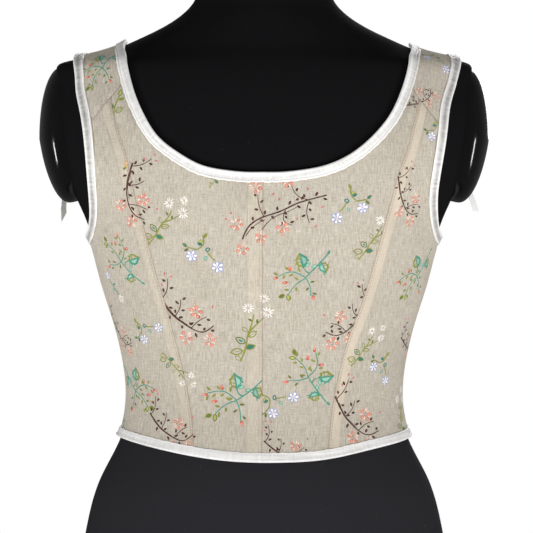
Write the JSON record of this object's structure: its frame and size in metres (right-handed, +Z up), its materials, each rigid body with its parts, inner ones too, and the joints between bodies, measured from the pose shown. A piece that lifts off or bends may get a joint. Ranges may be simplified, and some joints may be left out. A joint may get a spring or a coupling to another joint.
{
  "type": "bustier top on a dress form",
  "caption": "Cropped sleeveless bustier top of printed linen with satin-bound edges and ribbon-tied straps, worn by a limbless black dress form.",
  "frame": {"origin": "centre of the dress form's flat underside", "axes": "+Z up along the form, +Y the way the garment's front faces, +X to the wearer's right"},
  "size_m": [0.387, 0.2348, 0.674],
  "materials": {
    "jersey": "matte black knitted jersey stretched over the form",
    "form_plastic": "glossy black",
    "linen": "matte plain-weave linen with a small scattered floral print",
    "satin": "soft white satin bias binding, stitched",
    "ribbon": "soft white satin ribbon"
  },
  "bodies": {
    "root": {"form_torso": "jersey", "form_arm_plate_left": "form_plastic", "form_arm_plate_right": "form_plastic", "form_neck_cap": "form_plastic", "panel_centre_back_left": "linen", "panel_centre_back_right": "linen", "panel_side_back_left": "linen", "panel_side_back_right": "linen", "panel_side_front_left": "linen", "panel_side_front_right": "linen", "panel_centre_front_left": "linen", "panel_centre_front_right": "linen", "strap_left": "linen", "strap_right": "linen", "binding_neck": "satin", "binding_hem": "satin", "binding_arm_left": "satin", "binding_arm_right": "satin", "ribbon_knot_left": "ribbon", "ribbon_knot_right": "ribbon", "ribbon_loop_inner_left": "ribbon", "ribbon_loop_inner_right": "ribbon", "ribbon_loop_outer_left": "ribbon", "ribbon_loop_outer_right": "ribbon", "ribbon_tail_inner_left": "ribbon", "ribbon_tail_inner_right": "ribbon", "ribbon_tail_outer_left": "ribbon", "ribbon_tail_outer_right": "ribbon", "ribbon_tie_strap_left": "ribbon", "ribbon_tie_strap_right": "ribbon", "ribbon_tie_corner_left": "ribbon", "ribbon_tie_corner_right": "ribbon"}
  },
  "joints": []
}
